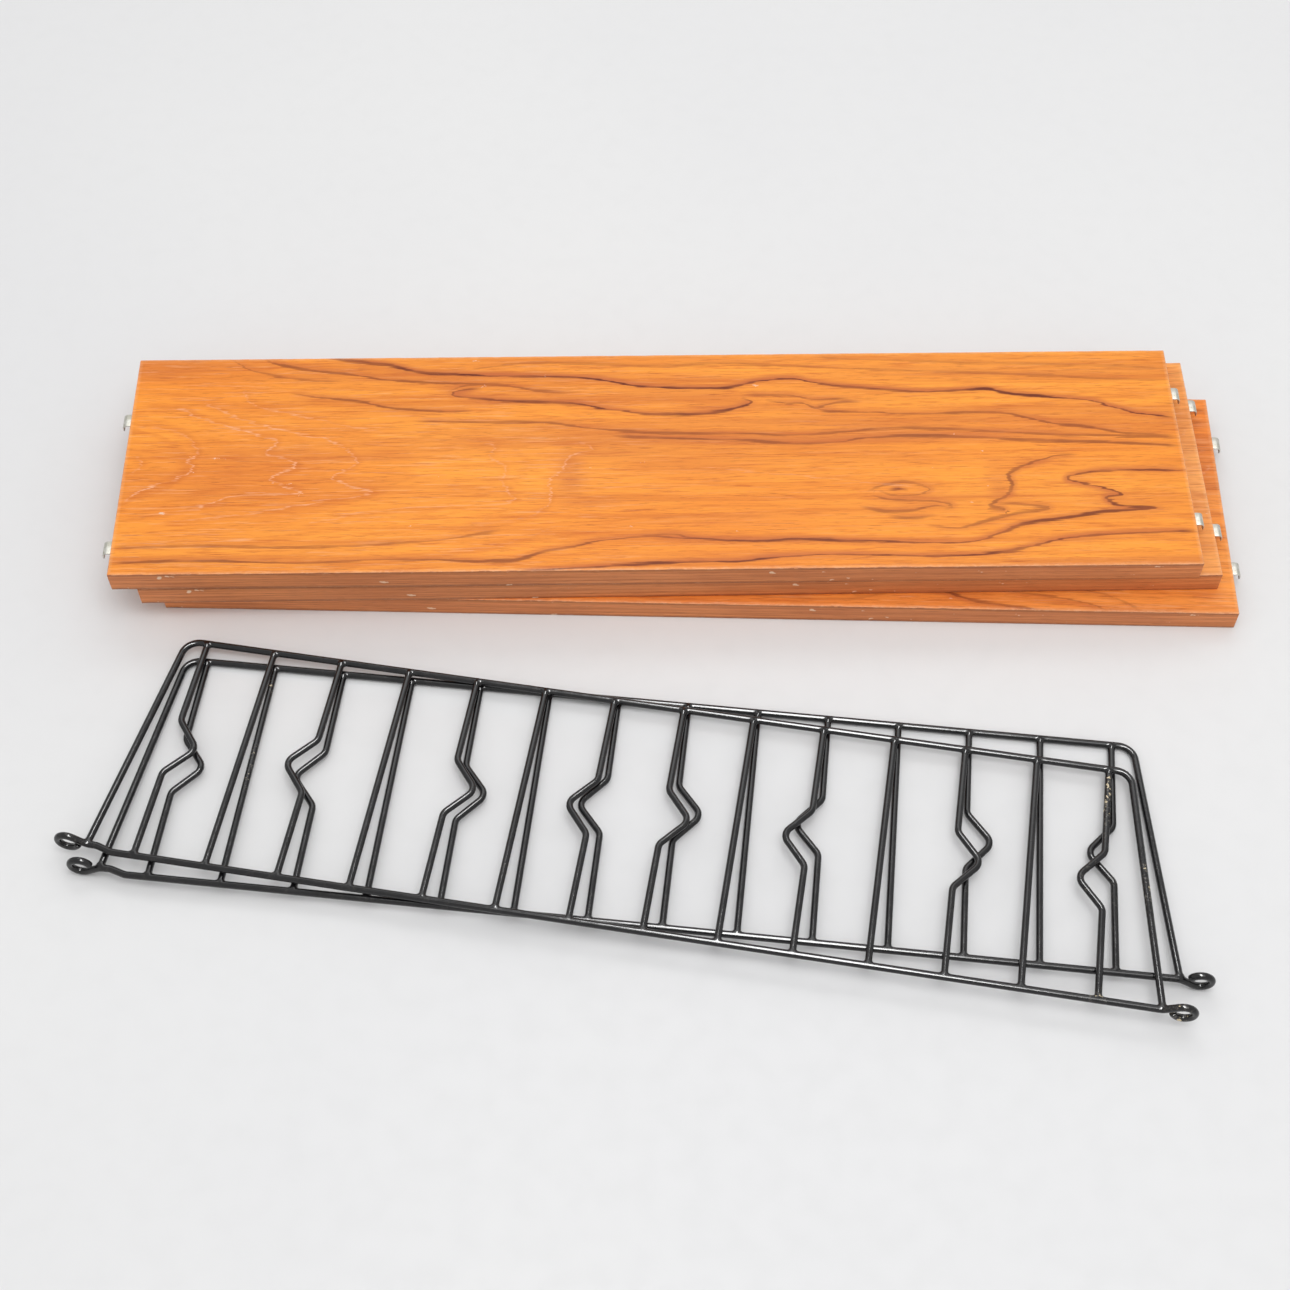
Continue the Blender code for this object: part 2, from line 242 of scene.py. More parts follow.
def frame_place(side_frame):
    """Turns side-frame coordinates, from the foot of its first rung, into the row frame."""
    first = middle(f"{side_frame}_rung_02")
    last = middle(f"{side_frame}_rung_13")
    along = (last - first).normalized()
    rung = frame["nodes"][f"{side_frame}_rung_02"].data
    points = np.array([vertex.co for vertex in rung.vertices])
    _, _, axes = np.linalg.svd(points - points.mean(0), full_matrices=False)
    depth = Vector(axes[0])
    if depth.dot(middle(f"{side_frame}_front_wire") - middle(f"{side_frame}_wall_wire")) < 0:
        depth.negate()
    normal = along.cross(depth).normalized()
    depth = normal.cross(along)
    place = Matrix((along, depth, normal)).transposed().to_4x4()
    place.translation = first - along * RUNG_PITCH - depth * FRAME_DEPTH / 2
    return place


# ---------------------------------------------------------------- node materials

class Shader:
    """A Principled material under construction, with short calls for common nodes."""

    def __init__(self, name):
        self.material = bpy.data.materials.new(name)
        self.material.use_nodes = True
        self.tree = self.material.node_tree
        self.surface = self.tree.nodes["Principled BSDF"]

    def node(self, kind, **settings):
        made = self.tree.nodes.new(kind)
        for key, value in settings.items():
            setattr(made, key, value)
        return made

    def feed(self, socket, value):
        """Links a socket to the input, or sets a plain value on it."""
        if isinstance(value, bpy.types.NodeSocket):
            self.tree.links.new(value, socket)
        elif value is not None:
            socket.default_value = value

    def math(self, operation, first, second=None):
        made = self.node("ShaderNodeMath", operation=operation)
        self.feed(made.inputs[0], first)
        self.feed(made.inputs[1], second)
        return made.outputs[0]

    def blend(self, factor, first, second):
        """The second colour over the first, as far as factor says."""
        made = self.node("ShaderNodeMix", data_type="RGBA")
        self.feed(made.inputs[0], factor)
        self.feed(made.inputs[6], first)
        self.feed(made.inputs[7], second)
        return made.outputs[2]

    def range(self, value, low, high, start=0.0, end=1.0):
        """A smooth step from start, at low, to end, at high."""
        made = self.node("ShaderNodeMapRange", interpolation_type="SMOOTHSTEP")
        for socket, given in zip(made.inputs, (value, low, high, start, end)):
            self.feed(socket, given)
        return made.outputs[0]

    def attribute(self, name):
        """A field that is stored on the mesh."""
        return self.node("ShaderNodeAttribute", attribute_name=name).outputs["Fac"]

    def place(self, stretch=(1, 1, 1), shift=(0, 0, 0)):
        """Object coordinates, moved and then stretched."""
        source = self.node("ShaderNodeTexCoord").outputs["Object"]
        made = self.node("ShaderNodeMapping")
        self.feed(made.inputs["Vector"], source)
        made.inputs["Scale"].default_value = stretch
        made.inputs["Location"].default_value = shift
        return made.outputs[0]

    def noise(self, where, detail=3.0, roughness=0.5):
        made = self.node("ShaderNodeTexNoise")
        self.feed(made.inputs["Vector"], where)
        made.inputs["Scale"].default_value = 1.0
        made.inputs["Detail"].default_value = detail
        made.inputs["Roughness"].default_value = roughness
        return made.outputs["Fac"]

    def bump(self, height, distance):
        made = self.node("ShaderNodeBump")
        made.inputs["Strength"].default_value = 1.0
        made.inputs["Distance"].default_value = distance
        self.feed(made.inputs["Height"], height)
        self.feed(self.surface.inputs["Normal"], made.outputs[0])

    def finish(self, **sockets):
        """Sets the surface's sockets, named with underscores, and gives the material."""
        for name, value in sockets.items():
            self.feed(self.surface.inputs[name.replace("_", " ")], value)
        return self.material


def centred(shader, value, size):
    """Noise from 0 to 1 turned into a shift of up to half of size either way."""
    return shader.math("MULTIPLY", shader.math("SUBTRACT", value, 0.5), size)


def line_layer(shader, name, wander, width):
    """How much of a drawn line shows here: its core, and a one-sided soft edge."""
    signed = shader.math("ADD", shader.attribute(name), wander)
    away = shader.math("DIVIDE", shader.math("ABSOLUTE", signed), width)
    close = shader.range(shader.attribute(f"{name}_near"), 3.6, 5.2, 1.0, 0.0)
    share = shader.math("MULTIPLY", shader.attribute(f"{name}_share"), close)
    core = shader.math("MULTIPLY", shader.range(away, 0.3, 1.0, 1.0, 0.0), share)
    side = shader.range(signed, -1.6, 0.6, 0.3, 1.0)
    soft = shader.range(shader.attribute(f"{name}_near"), 0.8, 6.0, 0.8, 0.0)
    soft = shader.math("MULTIPLY", shader.math("MULTIPLY", soft, side),
                       shader.attribute(f"{name}_share"))
    return core, soft


def strongest(shader, values):
    """The greatest of several values."""
    top = values[0]
    for value in values[1:]:
        top = shader.math("MAXIMUM", top, value)
    return top


def veneer_material(name, light, mid, dark, vein_colour, seed, vein_share, pale_share):
    """Crown-cut teak: growth bands, dark veins, fine streaks and pale dusty lines."""
    shader = Shader(name)
    shift = (seed * 3.1, seed * 1.7, 0)
    other = (seed * 1.3 + 4, seed * 2.9 + 7, 3)
    waves = shader.noise(shader.place((14, 75, 75), shift), 3.0)
    fibres = shader.noise(shader.place((30, 420, 420), shift), 3.0, 0.6)
    pores = shader.noise(shader.place((60, 1300, 1300), shift), 3.0, 0.6)
    flecks = shader.noise(shader.place((34, 760, 760), other), 4.0, 0.65)
    pale_flecks = shader.noise(shader.place((26, 640, 640), shift), 4.0, 0.65)
    clouds = shader.noise(shader.place((3.0, 13, 13), shift), 3.0)
    patches = shader.noise(shader.place((7.0, 32, 32), other), 3.0)
    streaks = shader.noise(shader.place((2.6, 120, 120), shift), 5.0, 0.65)
    bands = shader.noise(shader.place((1.6, 44, 44), other), 4.0, 0.6)

    ring = shader.math("ADD", shader.attribute("ring"), centred(shader, waves, 9.0))
    ring = shader.math("ADD", ring, centred(shader, fibres, 3.0))
    spacing = shader.noise(shader.math("MULTIPLY", ring, 0.06), 3.0)
    phase = shader.math("FRACT", shader.math("DIVIDE", ring, 13.0))
    rise = shader.math("POWER", phase, 2.0)
    fall = shader.range(phase, 0.9, 1.0, 1.0, 0.0)
    band = shader.math("MULTIPLY", shader.math("MULTIPLY", rise, fall),
                       shader.range(spacing, 0.38, 0.66, 0.0, 1.0))

    brown = shader.blend(0.4, dark, srgb(186, 108, 72))
    colour = shader.blend(shader.range(clouds, 0.3, 0.72), light, mid)
    colour = shader.blend(shader.range(bands, 0.46, 0.72, 0.0, 0.5), colour, brown)
    colour = shader.blend(shader.range(streaks, 0.48, 0.72, 0.0, 0.5), colour, dark)
    colour = shader.blend(shader.math("MULTIPLY", band, 0.34), colour, dark)
    tone = shader.math("MULTIPLY", shader.attribute("tone"),
                       shader.range(patches, 0.32, 0.62, 0.35, 1.0))
    colour = shader.blend(shader.math("MULTIPLY", tone, 0.62), colour, brown)
    colour = shader.blend(shader.range(fibres, 0.5, 0.72, 0.0, 0.34), colour, dark)
    colour = shader.blend(shader.range(flecks, 0.53, 0.68, 0.0, 0.5), colour, dark)
    dusty = shader.range(shader.attribute("dusty"), 0.0, 1.0, 0.16, 0.4)
    pale_fleck = shader.math("MULTIPLY", shader.range(pale_flecks, 0.54, 0.68), dusty)
    colour = shader.blend(pale_fleck, colour, srgb(246, 178, 126))
    colour = shader.blend(shader.range(pores, 0.56, 0.7, 0.0, 0.4), colour, srgb(142, 58, 26))

    wander = shader.math("ADD", centred(shader, fibres, 5.0), centred(shader, waves, 1.6))
    width = shader.range(shader.noise(shader.place((16, 40, 40), other), 2.0),
                         0.36, 0.64, 0.8, 2.1)
    layers = [line_layer(shader, f"vein_{number}", wander, width)
              for number in range(len(VEIN_LAYERS))]
    core = strongest(shader, [core for core, _ in layers])
    halo = strongest(shader, [soft for _, soft in layers])
    broken = shader.range(shader.noise(shader.place((22, 60, 60), shift), 2.0),
                          0.34, 0.58, 0.55, 1.0)
    colour = shader.blend(shader.math("MULTIPLY", halo, vein_share), colour, brown)
    core = shader.math("MULTIPLY", shader.math("MULTIPLY", core, broken), vein_share)
    colour = shader.blend(core, colour, vein_colour)

    jagged = shader.math("ADD", centred(shader, fibres, 9.0), centred(shader, flecks, 5.0))
    pale_layers = [line_layer(shader, f"pale_{number}", jagged, 1.0)
                   for number in range(len(PALE_LAYERS))]
    pale = strongest(shader, [core for core, _ in pale_layers])
    shade = strongest(shader, [soft for _, soft in pale_layers])
    colour = shader.blend(shader.math("MULTIPLY", shade, 0.45 * pale_share), colour, dark)
    pale = shader.math("MULTIPLY", pale, shader.range(pale_flecks, 0.4, 0.6, 0.1, pale_share))
    pale = shader.math("MULTIPLY", pale, shader.range(patches, 0.36, 0.6, 0.35, 1.0))
    colour = shader.blend(pale, colour, srgb(246, 184, 142))

    specks = shader.noise(shader.place((190, 330, 330), shift), 3.0, 0.65)
    worn = shader.math("MULTIPLY", shader.range(specks, 0.46, 0.6, 0.5, 1.0),
                       shader.attribute("worn"))
    colour = shader.blend(worn, colour, srgb(255, 216, 176))
    scuffs = shader.noise(shader.place((55, 120, 120), other), 4.0, 0.7)
    colour = shader.blend(shader.range(scuffs, 0.715, 0.74, 0.0, 0.7), colour,
                          srgb(240, 214, 190))

    height = shader.math("ADD", shader.math("MULTIPLY", pores, 0.6), fibres)
    shader.bump(height, 0.00008)
    rough = shader.range(streaks, 0.25, 0.75, 0.42, 0.56)
    return shader.finish(Base_Color=colour, Roughness=rough, Specular_IOR_Level=0.12)


def edge_material(name, light, dark, along, seed):
    """Fine straight grain of the strips and end veneers, with rubbed and chipped arrises."""
    shader = Shader(name)
    shift = (seed * 2.3, seed * 5.1, seed)
    stretch = (9, 900, 900) if along else (900, 9, 900)
    fine = (60, 2600, 2600) if along else (2600, 60, 2600)
    grain = shader.noise(shader.place(stretch, shift), 4.0, 0.6)
    pores = shader.noise(shader.place(fine, shift), 2.0, 0.6)
    clouds = shader.noise(shader.place((9, 9, 60), shift), 3.0)
    colour = shader.blend(shader.range(grain, 0.34, 0.7, 0.0, 0.75), light, dark)
    colour = shader.blend(shader.range(clouds, 0.35, 0.7, 0.0, 0.5), colour, dark)
    colour = shader.blend(shader.range(pores, 0.58, 0.7, 0.0, 0.5), colour, srgb(84, 44, 26))
    glue = shader.attribute("glue")
    colour = shader.blend(shader.math("MULTIPLY", glue, 0.55), colour, srgb(86, 42, 22))
    specks = shader.noise(shader.place((160, 300, 300), shift), 4.0, 0.7)
    worn = shader.math("MULTIPLY", shader.range(specks, 0.5, 0.66, 0.1, 0.8),
                       shader.attribute("worn"))
    colour = shader.blend(worn, colour, srgb(232, 176, 132))
    chips = shader.range(shader.noise(shader.place((65, 110, 110), shift), 3.0),
                         0.665, 0.69, 0.0, 0.85)
    colour = shader.blend(chips, colour, srgb(236, 204, 172))
    shader.bump(grain, 0.00012)
    rough = shader.range(grain, 0.2, 0.8, 0.45, 0.62)
    return shader.finish(Base_Color=colour, Roughness=rough, Specular_IOR_Level=0.35)


def zinc_material():
    """Dull zinc plating with cloudy spangle and darker handling marks."""
    shader = Shader("zinc_plating")
    clouds = shader.noise(shader.place((160, 160, 160)), 4.0, 0.6)
    spots = shader.noise(shader.place((620, 620, 620), (2, 5, 1)), 3.0)
    colour = shader.blend(shader.range(clouds, 0.3, 0.7), srgb(212, 211, 203), srgb(172, 170, 158))
    colour = shader.blend(shader.range(spots, 0.6, 0.72, 0.0, 0.6), colour, srgb(140, 128, 104))
    shader.bump(spots, 0.00004)
    rough = shader.range(clouds, 0.3, 0.7, 0.32, 0.5)
    return shader.finish(Base_Color=colour, Roughness=rough, Metallic=0.85)


def coating_material():
    """Black dipped coating: glossy, slightly uneven, dusty in places, with pale chips."""
    shader = Shader("black_coating")
    swell = shader.noise(shader.place((90, 90, 90)), 3.0)
    peel = shader.noise(shader.place((700, 700, 700), (3, 1, 4)), 2.0)
    dust = shader.noise(shader.place((420, 420, 420), (7, 2, 9)), 4.0, 0.65)
    chipped = shader.attribute("chipped")
    colour = shader.blend(shader.range(swell, 0.3, 0.7), srgb(13, 13, 15), srgb(21, 20, 22))
    dusty = shader.math("MULTIPLY", shader.range(dust, 0.52, 0.68),
                        shader.range(chipped, 0.1, 0.9, 0.06, 0.6))
    colour = shader.blend(dusty, colour, srgb(128, 122, 112))
    chip = shader.noise(shader.place((240, 240, 240), (1, 8, 3)), 4.0, 0.6)
    limit = shader.range(chipped, 0.0, 1.0, 0.84, 0.56)
    bare = shader.range(shader.math("SUBTRACT", chip, limit), 0.0, 0.03)
    colour = shader.blend(bare, colour, srgb(206, 190, 156))
    rough = shader.range(swell, 0.25, 0.75, 0.1, 0.17)
    rough = shader.math("ADD", rough, shader.math("MULTIPLY", dusty, 0.25))
    rough = shader.math("ADD", rough, shader.math("MULTIPLY", bare, 0.4))
    height = shader.math("ADD", shader.math("MULTIPLY", peel, 0.08), swell)
    height = shader.math("SUBTRACT", height, shader.math("MULTIPLY", bare, 0.6))
    shader.bump(height, 0.00007)
    return shader.finish(Base_Color=colour, Roughness=rough, Specular_IOR_Level=0.5)


def floor_material():
    """Pale painted floor with the faintest mottling."""
    shader = Shader("pale_floor")
    broad = shader.noise(shader.place((1.3, 1.3, 1.3)), 3.0)
    fine = shader.noise(shader.place((55, 55, 55)), 4.0)
    colour = shader.blend(shader.range(broad, 0.3, 0.7), srgb(226, 226, 226), srgb(222, 222, 223))
    colour = shader.blend(shader.range(fine, 0.4, 0.8, 0.0, 0.12), colour, srgb(214, 214, 214))
    shader.bump(fine, 0.0001)
    rough = shader.range(fine, 0.3, 0.7, 0.6, 0.7)
    return shader.finish(Base_Color=colour, Roughness=rough, Specular_IOR_Level=0.25)


# ---------------------------------------------------------------- shared mesh code

def store(mesh, name, values):
    """Keeps one number for each vertex, which the materials read by name."""
    attribute = mesh.attributes.new(name, "FLOAT", "POINT")
    attribute.data.foreach_set("value", np.asarray(values, np.float32))


def smooth(mesh, angle):
    """Smooth shading, with edges sharper than the angle in degrees left crisp."""
    mesh.shade_smooth()
    mesh.set_sharp_from_angle(angle=math.radians(angle))


def steps_between(start, end, size):
    """Evenly spaced values from start to end, no further apart than size."""
    count = max(1, math.ceil(abs(end - start) / size))
    return [start + (end - start) * step / count for step in range(count + 1)]


def flatten(piece):
    """The piece's mesh with its modifiers applied, and the piece removed."""
    graph = bpy.context.evaluated_depsgraph_get()
    graph.update()
    mesh = bpy.data.meshes.new_from_object(piece.evaluated_get(graph))
    bpy.data.objects.remove(piece, do_unlink=True)
    return mesh


def add_piece(name, mesh, place, body, nodes):
    """Shows a finished mesh at its place, riding on a body and standing for CAD nodes."""
    piece = bpy.data.objects.new(name, mesh)
    bpy.context.scene.collection.objects.link(piece)
    piece.matrix_world = place
    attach(piece, body)
    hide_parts(*nodes)


# ---------------------------------------------------------------- figure of the veneer

def smooth_line(points):
    """Points on a Catmull-Rom curve through the given ones, about LINE_STEP apart."""
    guides = [Vector(point) for point in points]
    guides = [guides[0] * 2 - guides[1]] + guides + [guides[-1] * 2 - guides[-2]]
    line = []
    for before, start, end, after in zip(guides, guides[1:], guides[2:], guides[3:]):
        count = max(2, math.ceil((end - start).length / LINE_STEP))
        for number in range(count):
            share = number / count
            line.append(0.5 * (2 * start + (end - before) * share
                               + (2 * before - 5 * start + 4 * end - after) * share ** 2
                               + (3 * start - before - 3 * end + after) * share ** 3))
    line.append(guides[-2])
    return np.array(line)


def spread(guides, room):
    """Shares lines out over layers in which no two lines come closer than room."""
    layers = []
    for darkness, guide in guides:
        line = smooth_line(guide)
        for layer in layers:
            gaps = [np.linalg.norm(line[:, None] - other[None], axis=2).min()
                    for _, other in layer]
            if min(gaps) > room:
                layer.append((darkness, line))
                break
        else:
            layers.append([(darkness, line)])
    return layers


def line_fields(points, lines):
    """Signed and plain distance to the nearest line, and how strong that line is there."""
    nearest = np.full(len(points), LINE_REACH)
    signed = np.full(len(points), LINE_REACH)
    strength = np.zeros(len(points))
    for darkness, line in lines:
        start = line[:-1]
        span = line[1:] - start
        length = (span ** 2).sum(1)
        above = points > line.min(0) - LINE_REACH
        below = points < line.max(0) + LINE_REACH
        close = np.flatnonzero((above & below).all(1))
        for chunk in np.array_split(close, max(1, len(close) // CHUNK)):
            offset = points[chunk][:, None] - start[None]
            share = np.clip((offset * span).sum(2) / length, 0, 1)
            gap = offset - share[..., None] * span
            distance = np.sqrt((gap ** 2).sum(2))
            best = distance.argmin(1)
            rows = np.arange(len(chunk))
            found = distance[rows, best]
            side = np.sign(span[best, 0] * gap[rows, best, 1] - span[best, 1] * gap[rows, best, 0])
            along = best + share[rows, best]
            fade = np.clip(np.minimum(along, len(span) - along) / FADE_STEPS, 0, 1)
            better = found < nearest[chunk]
            chosen = chunk[better]
            nearest[chosen] = found[better]
            signed[chosen] = (found * side)[better]
            strength[chosen] = (darkness * fade)[better]
    return signed, nearest, strength


def store_lines(mesh, name, points, layers):
    """Stores three fields for each layer: signed distance, plain distance and strength."""
    for number, lines in enumerate(layers):
        signed, nearest, strength = line_fields(points, lines)
        store(mesh, f"{name}_{number}", np.clip(signed, -FIELD_LIMIT, FIELD_LIMIT))
        store(mesh, f"{name}_{number}_near", np.clip(nearest, 0, FIELD_LIMIT))
        store(mesh, f"{name}_{number}_share", strength)


def ring_field(points):
    """Distance from the tree's middle, whose depth under the face changes along the board."""
    along, across = points.T
    left = 27 * np.clip(along + 395, 0, None)
    flat = 9000 + 2.0 * (along + 60)
    right = 9700 - 24 * np.clip(along - 190, 0, None)
    depth = np.minimum(np.minimum(left, flat), right)
    depth = np.clip(depth, 60, None)
    centre = -3 - 26 / (1 + np.exp(-(along - 120) / 60))
    knot = np.exp(-(((along - 180) / 34) ** 2 + ((across + 31) / 15) ** 2))
    return np.sqrt((across - centre) ** 2 + depth) - 16 * knot


def add_figure(mesh, turned):
    """Stores the veneer's fields on the mesh; a turned board has its figure end for end."""
    places = np.array([vertex.co for vertex in mesh.vertices])
    points = places[:, :2] / MM * (-1 if turned else 1)
    store_lines(mesh, "vein", points, VEIN_LAYERS)
    store_lines(mesh, "pale", points, PALE_LAYERS)
    store(mesh, "ring", ring_field(points))
    store(mesh, "dusty", np.clip((40 - points[:, 0]) / 120, 0, 1))
    tone = np.zeros(len(points))
    for strength, along, across, length, depth in PATCHES:
        away = ((points[:, 0] - along) / length) ** 2 + ((points[:, 1] - across) / depth) ** 2
        tone = np.maximum(tone, strength * np.exp(-away))
    store(mesh, "tone", tone)


# ---------------------------------------------------------------- boards

def board_profile(half_depth, height):
    """Points round the cross-section, from the front of the top face."""
    points = []
    half_height = height / 2
    corners = ((1, 1, 0), (1, -1, 90), (-1, -1, 180), (-1, 1, 270))
    for across in steps_between(-half_depth + ARRIS, half_depth - ARRIS, GRID)[:-1]:
        points.append((across, height))
    for side, up, turn in corners:
        centre = Vector((side * (half_depth - ARRIS), half_height + up * (half_height - ARRIS)))
        for angle in range(0, 91, 30):
            swing = math.radians(90 - turn - angle)
            points.append((centre.x + ARRIS * math.cos(swing), centre.y + ARRIS * math.sin(swing)))
        if turn == 0:
            for level in steps_between(height - ARRIS, ARRIS, GRID)[1:-1]:
                points.append((half_depth, level))
        if turn == 90:
            for across in steps_between(half_depth - ARRIS, -half_depth + ARRIS, GRID)[1:-1]:
                points.append((across, 0.0))
        if turn == 180:
            for level in steps_between(ARRIS, height - ARRIS, GRID)[1:-1]:
                points.append((-half_depth, level))
    return points[:-1]


def slot_loop(shape, place, depth, half_width, low, high, inset):
    """Four corners of a slot's mouth, or of its bottom when inset, in the end face."""
    x = place - math.copysign(inset, place)
    corners = ((depth - half_width, low), (depth + half_width, low),
               (depth + half_width, high), (depth - half_width, high))
    return [shape.verts.new((x, y, z)) for y, z in corners]


def board_mesh(name, length, depth, height, slots):
    """A closed board with rounded, nicked arrises and real slots in both ends."""
    half_length = length / 2
    profile = board_profile(depth / 2, height)
    stations = []
    for angle in (90, 60, 30):
        stations.append((-half_length + ARRIS * (1 - math.sin(math.radians(angle))),
                         ARRIS * (1 - math.cos(math.radians(angle)))))
    for along in steps_between(-half_length + ARRIS, half_length - ARRIS, GRID):
        stations.append((along, 0.0))
    stations += [(-along, inset) for along, inset in stations[2::-1]]
    shape = bmesh.new()
    loops = []
    for along, inset in stations:
        loop = []
        for across, level in profile:
            edge = depth / 2 - abs(across) < ARRIS and min(level, height - level) < ARRIS
            rub = 0.0
            if edge or inset > 0:
                spot = Vector((along * 90, across * 90, level * 200))
                rub = max(0.0, noise.noise(spot) - 0.12) * 1.6
                rub += max(0.0, noise.noise(spot * 5.3) - 0.35) * 1.2
            push = inset + NICK * rub
            y = across * (1 - push / (depth / 2))
            z = height / 2 + (level - height / 2) * (1 - push / (height / 2))
            loop.append(shape.verts.new((along, y, z)))
        loops.append(loop)
    for near, far in zip(loops, loops[1:]):
        for number in range(len(profile)):
            after = (number + 1) % len(profile)
            shape.faces.new((near[number], near[after], far[after], far[number]))
    for end, loop in ((-1, loops[0]), (1, loops[-1])):
        rim = [shape.edges.get((a, b)) for a, b in zip(loop, loop[1:] + loop[:1])]
        for side, middle_depth, width, low, high in slots:
            if side != end:
                continue
            mouth = slot_loop(shape, end * half_length, middle_depth, width / 2, low, high, 0)
            base = slot_loop(shape, end * half_length, middle_depth, width / 2, low, high,
                             SLOT_DEPTH)
            for number in range(4):
                after = (number + 1) % 4
                rim.append(shape.edges.new((mouth[number], mouth[after])))
                shape.faces.new((mouth[number], base[number], base[after], mouth[after]))
            shape.faces.new(base)
        bmesh.ops.triangle_fill(shape, use_beauty=True, edges=rim)
    bmesh.ops.recalc_face_normals(shape, faces=shape.faces)
    mesh = bpy.data.meshes.new(name)
    shape.to_mesh(mesh)
    shape.free()
    return mesh


def dress_board(mesh, length, depth, height, veneer, edge, end):
    """Gives the mesh its three materials, and the fields that wear follows."""
    for material in (veneer, edge, end):
        mesh.materials.append(material)
    for face in mesh.polygons:
        if abs(face.normal.z) > 0.8:
            face.material_index = 0
        elif abs(face.normal.x) > abs(face.normal.y):
            face.material_index = 2
        else:
            face.material_index = 1
    places = np.array([vertex.co for vertex in mesh.vertices])
    to_end = length / 2 - np.abs(places[:, 0])
    to_side = depth / 2 - np.abs(places[:, 1])
    to_face = np.minimum(places[:, 2], height - places[:, 2])
    gaps = np.sort(np.stack([to_end, to_side, to_face]), axis=0)
    store(mesh, "worn", np.clip(1.0 - gaps[1] / WORN_WIDTH, 0, 1))
    store(mesh, "glue", ((to_face > ARRIS * 0.6) & (to_face < ARRIS * 1.4)).astype(float))
    smooth(mesh, 50)


def clip_line():
    """Middle line of the clip's strip, leaving the board along +X and hooking down."""
    radius = CLIP_BEND + CLIP_SHEET / 2
    start = CLIP_MOUTH - CLIP_BEND
    line = [Vector((-SLOT_DEPTH + SLOT_ROOM, 0, 0)), Vector((0, 0, 0))]
    for angle in range(0, 91, 9):
        swing = math.radians(angle)
        line.append(Vector((start + radius * math.sin(swing), 0,
                            -radius * (1 - math.cos(swing)))))
    line.append(line[-1] - Vector((0, 0, CLIP_LIP)))
    return line


def clip_mesh(width, material):
    """A bent strip with eased edges, the middle of its sheet at the origin's height."""
    line = clip_line()
    shape = bmesh.new()
    rows = []
    for number, point in enumerate(line):
        before = line[max(0, number - 1)]
        after = line[min(len(line) - 1, number + 1)]
        along = (after - before).normalized()
        out = Vector((-along.z, 0, along.x)) * CLIP_SHEET / 2
        rows.append([shape.verts.new(point + out * level + Vector((0, side * width / 2, 0)))
                     for level, side in ((1, -1), (1, 1), (-1, 1), (-1, -1))])
    for near, far in zip(rows, rows[1:]):
        for number in range(4):
            after = (number + 1) % 4
            shape.faces.new((near[number], near[after], far[after], far[number]))
    shape.faces.new(rows[0][::-1])
    shape.faces.new(rows[-1])
    bmesh.ops.recalc_face_normals(shape, faces=shape.faces)
    mesh = bpy.data.meshes.new("clip")
    shape.to_mesh(mesh)
    shape.free()
    strip = bpy.data.objects.new("clip_strip", mesh)
    bpy.context.scene.collection.objects.link(strip)
    ease = strip.modifiers.new("ease", "BEVEL")
    ease.width = CLIP_EASE
    ease.segments = 2
    ease.limit_method = "ANGLE"
    ease.angle_limit = math.radians(50)
    mesh = flatten(strip)
    mesh.materials.append(material)
    smooth(mesh, 35)
    return mesh


# ---------------------------------------------------------------- side frames

def round_corners(corners, radius):
    """The path through the corners, with an arc in place of each inner corner."""
    path = [corners[0]]
    for before, corner, after in zip(corners, corners[1:], corners[2:]):
        arrive = (corner - before).normalized()
        leave = (after - corner).normalized()
        bend = arrive.angle(leave)
        reach = radius * math.tan(bend / 2)
        centre = corner + (leave - arrive).normalized() * radius / math.cos(bend / 2)
        spoke = corner - arrive * reach - centre
        axis = arrive.cross(leave).normalized()
        count = max(1, math.ceil(math.degrees(bend) / BEND_STEP))
        for step in range(count + 1):
            path.append(centre + Matrix.Rotation(bend * step / count, 3, axis) @ spoke)
    path.append(corners[-1])
    return path


def eye_path(centre, end, hand):
    """Points round an eye, from where the wire meets it to its cut end."""
    meet = math.degrees(math.asin(EYE_RADIUS / EYE_REACH))
    count = round(EYE_SWEEP / BEND_STEP)
    points = []
    for step in range(count + 1):
        angle = math.radians(EYE_SWEEP * step / count - meet)
        points.append(centre + Vector((end * EYE_RADIUS * math.sin(angle), 0,
                                       -hand * EYE_RADIUS * math.cos(angle))))
    return points


def wall_wire_path(hand):
    """The wire against the wall: an eye, the joggle, the straight run and the other eye."""
    left_joint = Vector((LEFT_FOOT, JOGGLE_OFFSET, 0))
    right_joint = Vector((RIGHT_FOOT, 0, 0))
    joggle_start = left_joint + Vector((LEG_TO_JOGGLE, 0, 0))
    joggle_end = Vector((joggle_start.x + JOGGLE_LENGTH, 0, 0))
    left_eye = eye_path(left_joint - Vector((EYE_REACH, 0, 0)), -1, hand)
    right_eye = eye_path(right_joint + Vector((EYE_REACH, 0, 0)), 1, hand)
    corners = [left_eye[0], left_joint, joggle_start, joggle_end, right_joint, right_eye[0]]
    return left_eye[::-1] + round_corners(corners, JOGGLE_RADIUS)[1:-1] + right_eye


def front_wire_path():
    """The front wire with its two legs, which run back to the wall wire."""
    corners = [Vector((LEFT_FOOT, JOGGLE_OFFSET, 0)), Vector((LEFT_CORNER, FRAME_DEPTH, 0)),
               Vector((RIGHT_CORNER, FRAME_DEPTH, 0)), Vector((RIGHT_FOOT, 0, 0))]
    return round_corners(corners, CORNER_RADIUS)


